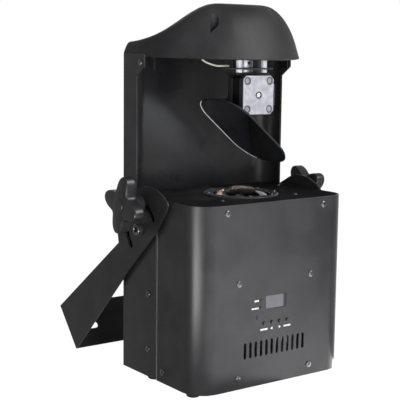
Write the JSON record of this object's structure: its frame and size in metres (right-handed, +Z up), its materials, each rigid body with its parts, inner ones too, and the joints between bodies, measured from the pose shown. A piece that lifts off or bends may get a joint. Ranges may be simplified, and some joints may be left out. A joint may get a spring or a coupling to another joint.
{
  "type": "led scanner light",
  "caption": "Projector housing that throws its beam up onto a panning and tilting mirror under a hood, on a swivel bracket with clamp knobs.",
  "frame": {"origin": "on the floor plane, under the middle of the bounding box", "axes": "+Z up, -Y towards the control panel, +Y towards the column and the sockets, +X to the right seen from the panel"},
  "size_m": [0.2776, 0.293, 0.422],
  "materials": {
    "cover_paint": "satin black powder coat",
    "chassis_paint": "satin black powder coat",
    "liner_paint": "semi-gloss black",
    "zinc_steel": "zinc plated",
    "hood_plastic": "fine satin moulding",
    "foot_rubber": "matt",
    "heat_sink_aluminium": "extruded",
    "led_board_white": "white solder mask",
    "tube_black": "matt black",
    "lens_glass": "clear",
    "motor_steel": "plated",
    "wheel_aluminium": "dark anodised",
    "ring_paint": "satin black powder coat",
    "fan_plastic": "moulded",
    "cage_aluminium": "folded sheet",
    "board_green": "solder mask",
    "window_smoke": "smoked, glossy",
    "button_black": "moulded",
    "socket_black": "moulded",
    "stepper_aluminium": "cast caps round a black core",
    "shaft_steel": "ground",
    "hub_aluminium": "turned",
    "bracket_black": "satin black powder coat",
    "post_nylon": "natural nylon",
    "holder_black": "satin black powder coat",
    "mirror_glass": "front-silvered",
    "cable_pvc": "beige PVC",
    "yoke_paint": "satin black powder coat",
    "screw_steel": "black oxide",
    "knob_plastic": "moulded"
  },
  "bodies": {
    "root": {"front_cover": "cover_paint", "rear_chassis": "chassis_paint", "top_plate": "cover_paint", "base_plate": "chassis_paint", "column_liner": "liner_paint", "pan_deck": "zinc_steel", "hood": "hood_plastic", "foot_front_left": "foot_rubber", "foot_front_right": "foot_rubber", "foot_rear_left": "foot_rubber", "foot_rear_right": "foot_rubber", "optics_frame": "zinc_steel", "heat_sink": "heat_sink_aluminium", "led_board": "led_board_white", "condenser_tube": "tube_black", "condenser_lens": "lens_glass", "colour_wheel_motor": "motor_steel", "gobo_wheel_motor": "motor_steel", "lens_tube": "tube_black", "objective_lens": "lens_glass", "lens_ring": "ring_paint", "fan_frame": "fan_plastic", "power_supply": "cage_aluminium", "driver_board": "board_green", "control_board": "board_green", "display_module": "tube_black", "display_window": "window_smoke", "data_in_socket": "socket_black", "data_out_socket": "socket_black", "power_inlet": "socket_black", "fuse_holder": "socket_black", "pan_motor": "stepper_aluminium", "pan_stop_pin": "shaft_steel", "motor_cable": "cable_pvc", "pivot_screw_left": "screw_steel", "pivot_screw_right": "screw_steel"},
    "bracket": {"mounting_bracket": "yoke_paint"},
    "knob_left": {"knob_left": "knob_plastic"},
    "knob_right": {"knob_right": "knob_plastic"},
    "pan_head": {"pan_shaft": "shaft_steel", "pan_hub": "hub_aluminium", "pan_disc": "hub_aluminium", "pan_spacer": "hub_aluminium", "tilt_bracket": "bracket_black", "stop_post_left": "post_nylon", "stop_post_right": "post_nylon", "tilt_motor": "stepper_aluminium"},
    "tilt_head": {"tilt_shaft": "shaft_steel", "mirror_holder": "holder_black", "mirror": "mirror_glass"},
    "fan": {"fan_rotor": "fan_plastic"},
    "colour_wheel": {"colour_wheel": "wheel_aluminium"},
    "gobo_wheel": {"gobo_wheel": "wheel_aluminium"},
    "button_1": {"button_1": "button_black"},
    "button_2": {"button_2": "button_black"},
    "button_3": {"button_3": "button_black"},
    "button_4": {"button_4": "button_black"}
  },
  "joints": [
    {"name": "bracket_hinge", "type": "hinge", "parent": "root", "child": "bracket", "pos_m": [0, -0.04214, 0.17407], "axis": [1, 0, 0], "range_deg": [-48, 108]},
    {"name": "knob_left_turn", "type": "hinge", "parent": "root", "child": "knob_left", "pos_m": [-0.105, -0.04214, 0.20257], "axis": [-1, 0, 0], "continuous": true},
    {"name": "knob_right_turn", "type": "hinge", "parent": "root", "child": "knob_right", "pos_m": [0.105, -0.04214, 0.20257], "axis": [1, 0, 0], "continuous": true},
    {"name": "pan", "type": "hinge", "parent": "root", "child": "pan_head", "pos_m": [0, -0.08044, 0.347], "axis": [0, 0, 1], "range_deg": [-10, 190]},
    {"name": "tilt", "type": "hinge", "parent": "pan_head", "child": "tilt_head", "pos_m": [0, -0.08044, 0.323], "axis": [0, 1, 0], "range_deg": [-22.5, 22.5]},
    {"name": "fan_spin", "type": "hinge", "parent": "root", "child": "fan", "pos_m": [0, -0.01644, 0.062], "axis": [0, 1, 0], "continuous": true},
    {"name": "colour_wheel_spin", "type": "hinge", "parent": "root", "child": "colour_wheel", "pos_m": [-0.04, -0.08044, 0.094], "axis": [0, 0, 1], "continuous": true},
    {"name": "gobo_wheel_spin", "type": "hinge", "parent": "root", "child": "gobo_wheel", "pos_m": [0.04, -0.08044, 0.105], "axis": [0, 0, 1], "continuous": true},
    {"name": "button_1_press", "type": "slide", "parent": "root", "child": "button_1", "axis": [0, 1, 0], "range_m": [0, 0.0008], "stiffness_N_per_m": 900, "springref_m": -0.0006},
    {"name": "button_2_press", "type": "slide", "parent": "root", "child": "button_2", "axis": [0, 1, 0], "range_m": [0, 0.0008], "stiffness_N_per_m": 900, "springref_m": -0.0006},
    {"name": "button_3_press", "type": "slide", "parent": "root", "child": "button_3", "axis": [0, 1, 0], "range_m": [0, 0.0008], "stiffness_N_per_m": 900, "springref_m": -0.0006},
    {"name": "button_4_press", "type": "slide", "parent": "root", "child": "button_4", "axis": [0, 1, 0], "range_m": [0, 0.0008], "stiffness_N_per_m": 900, "springref_m": -0.0006}
  ]
}
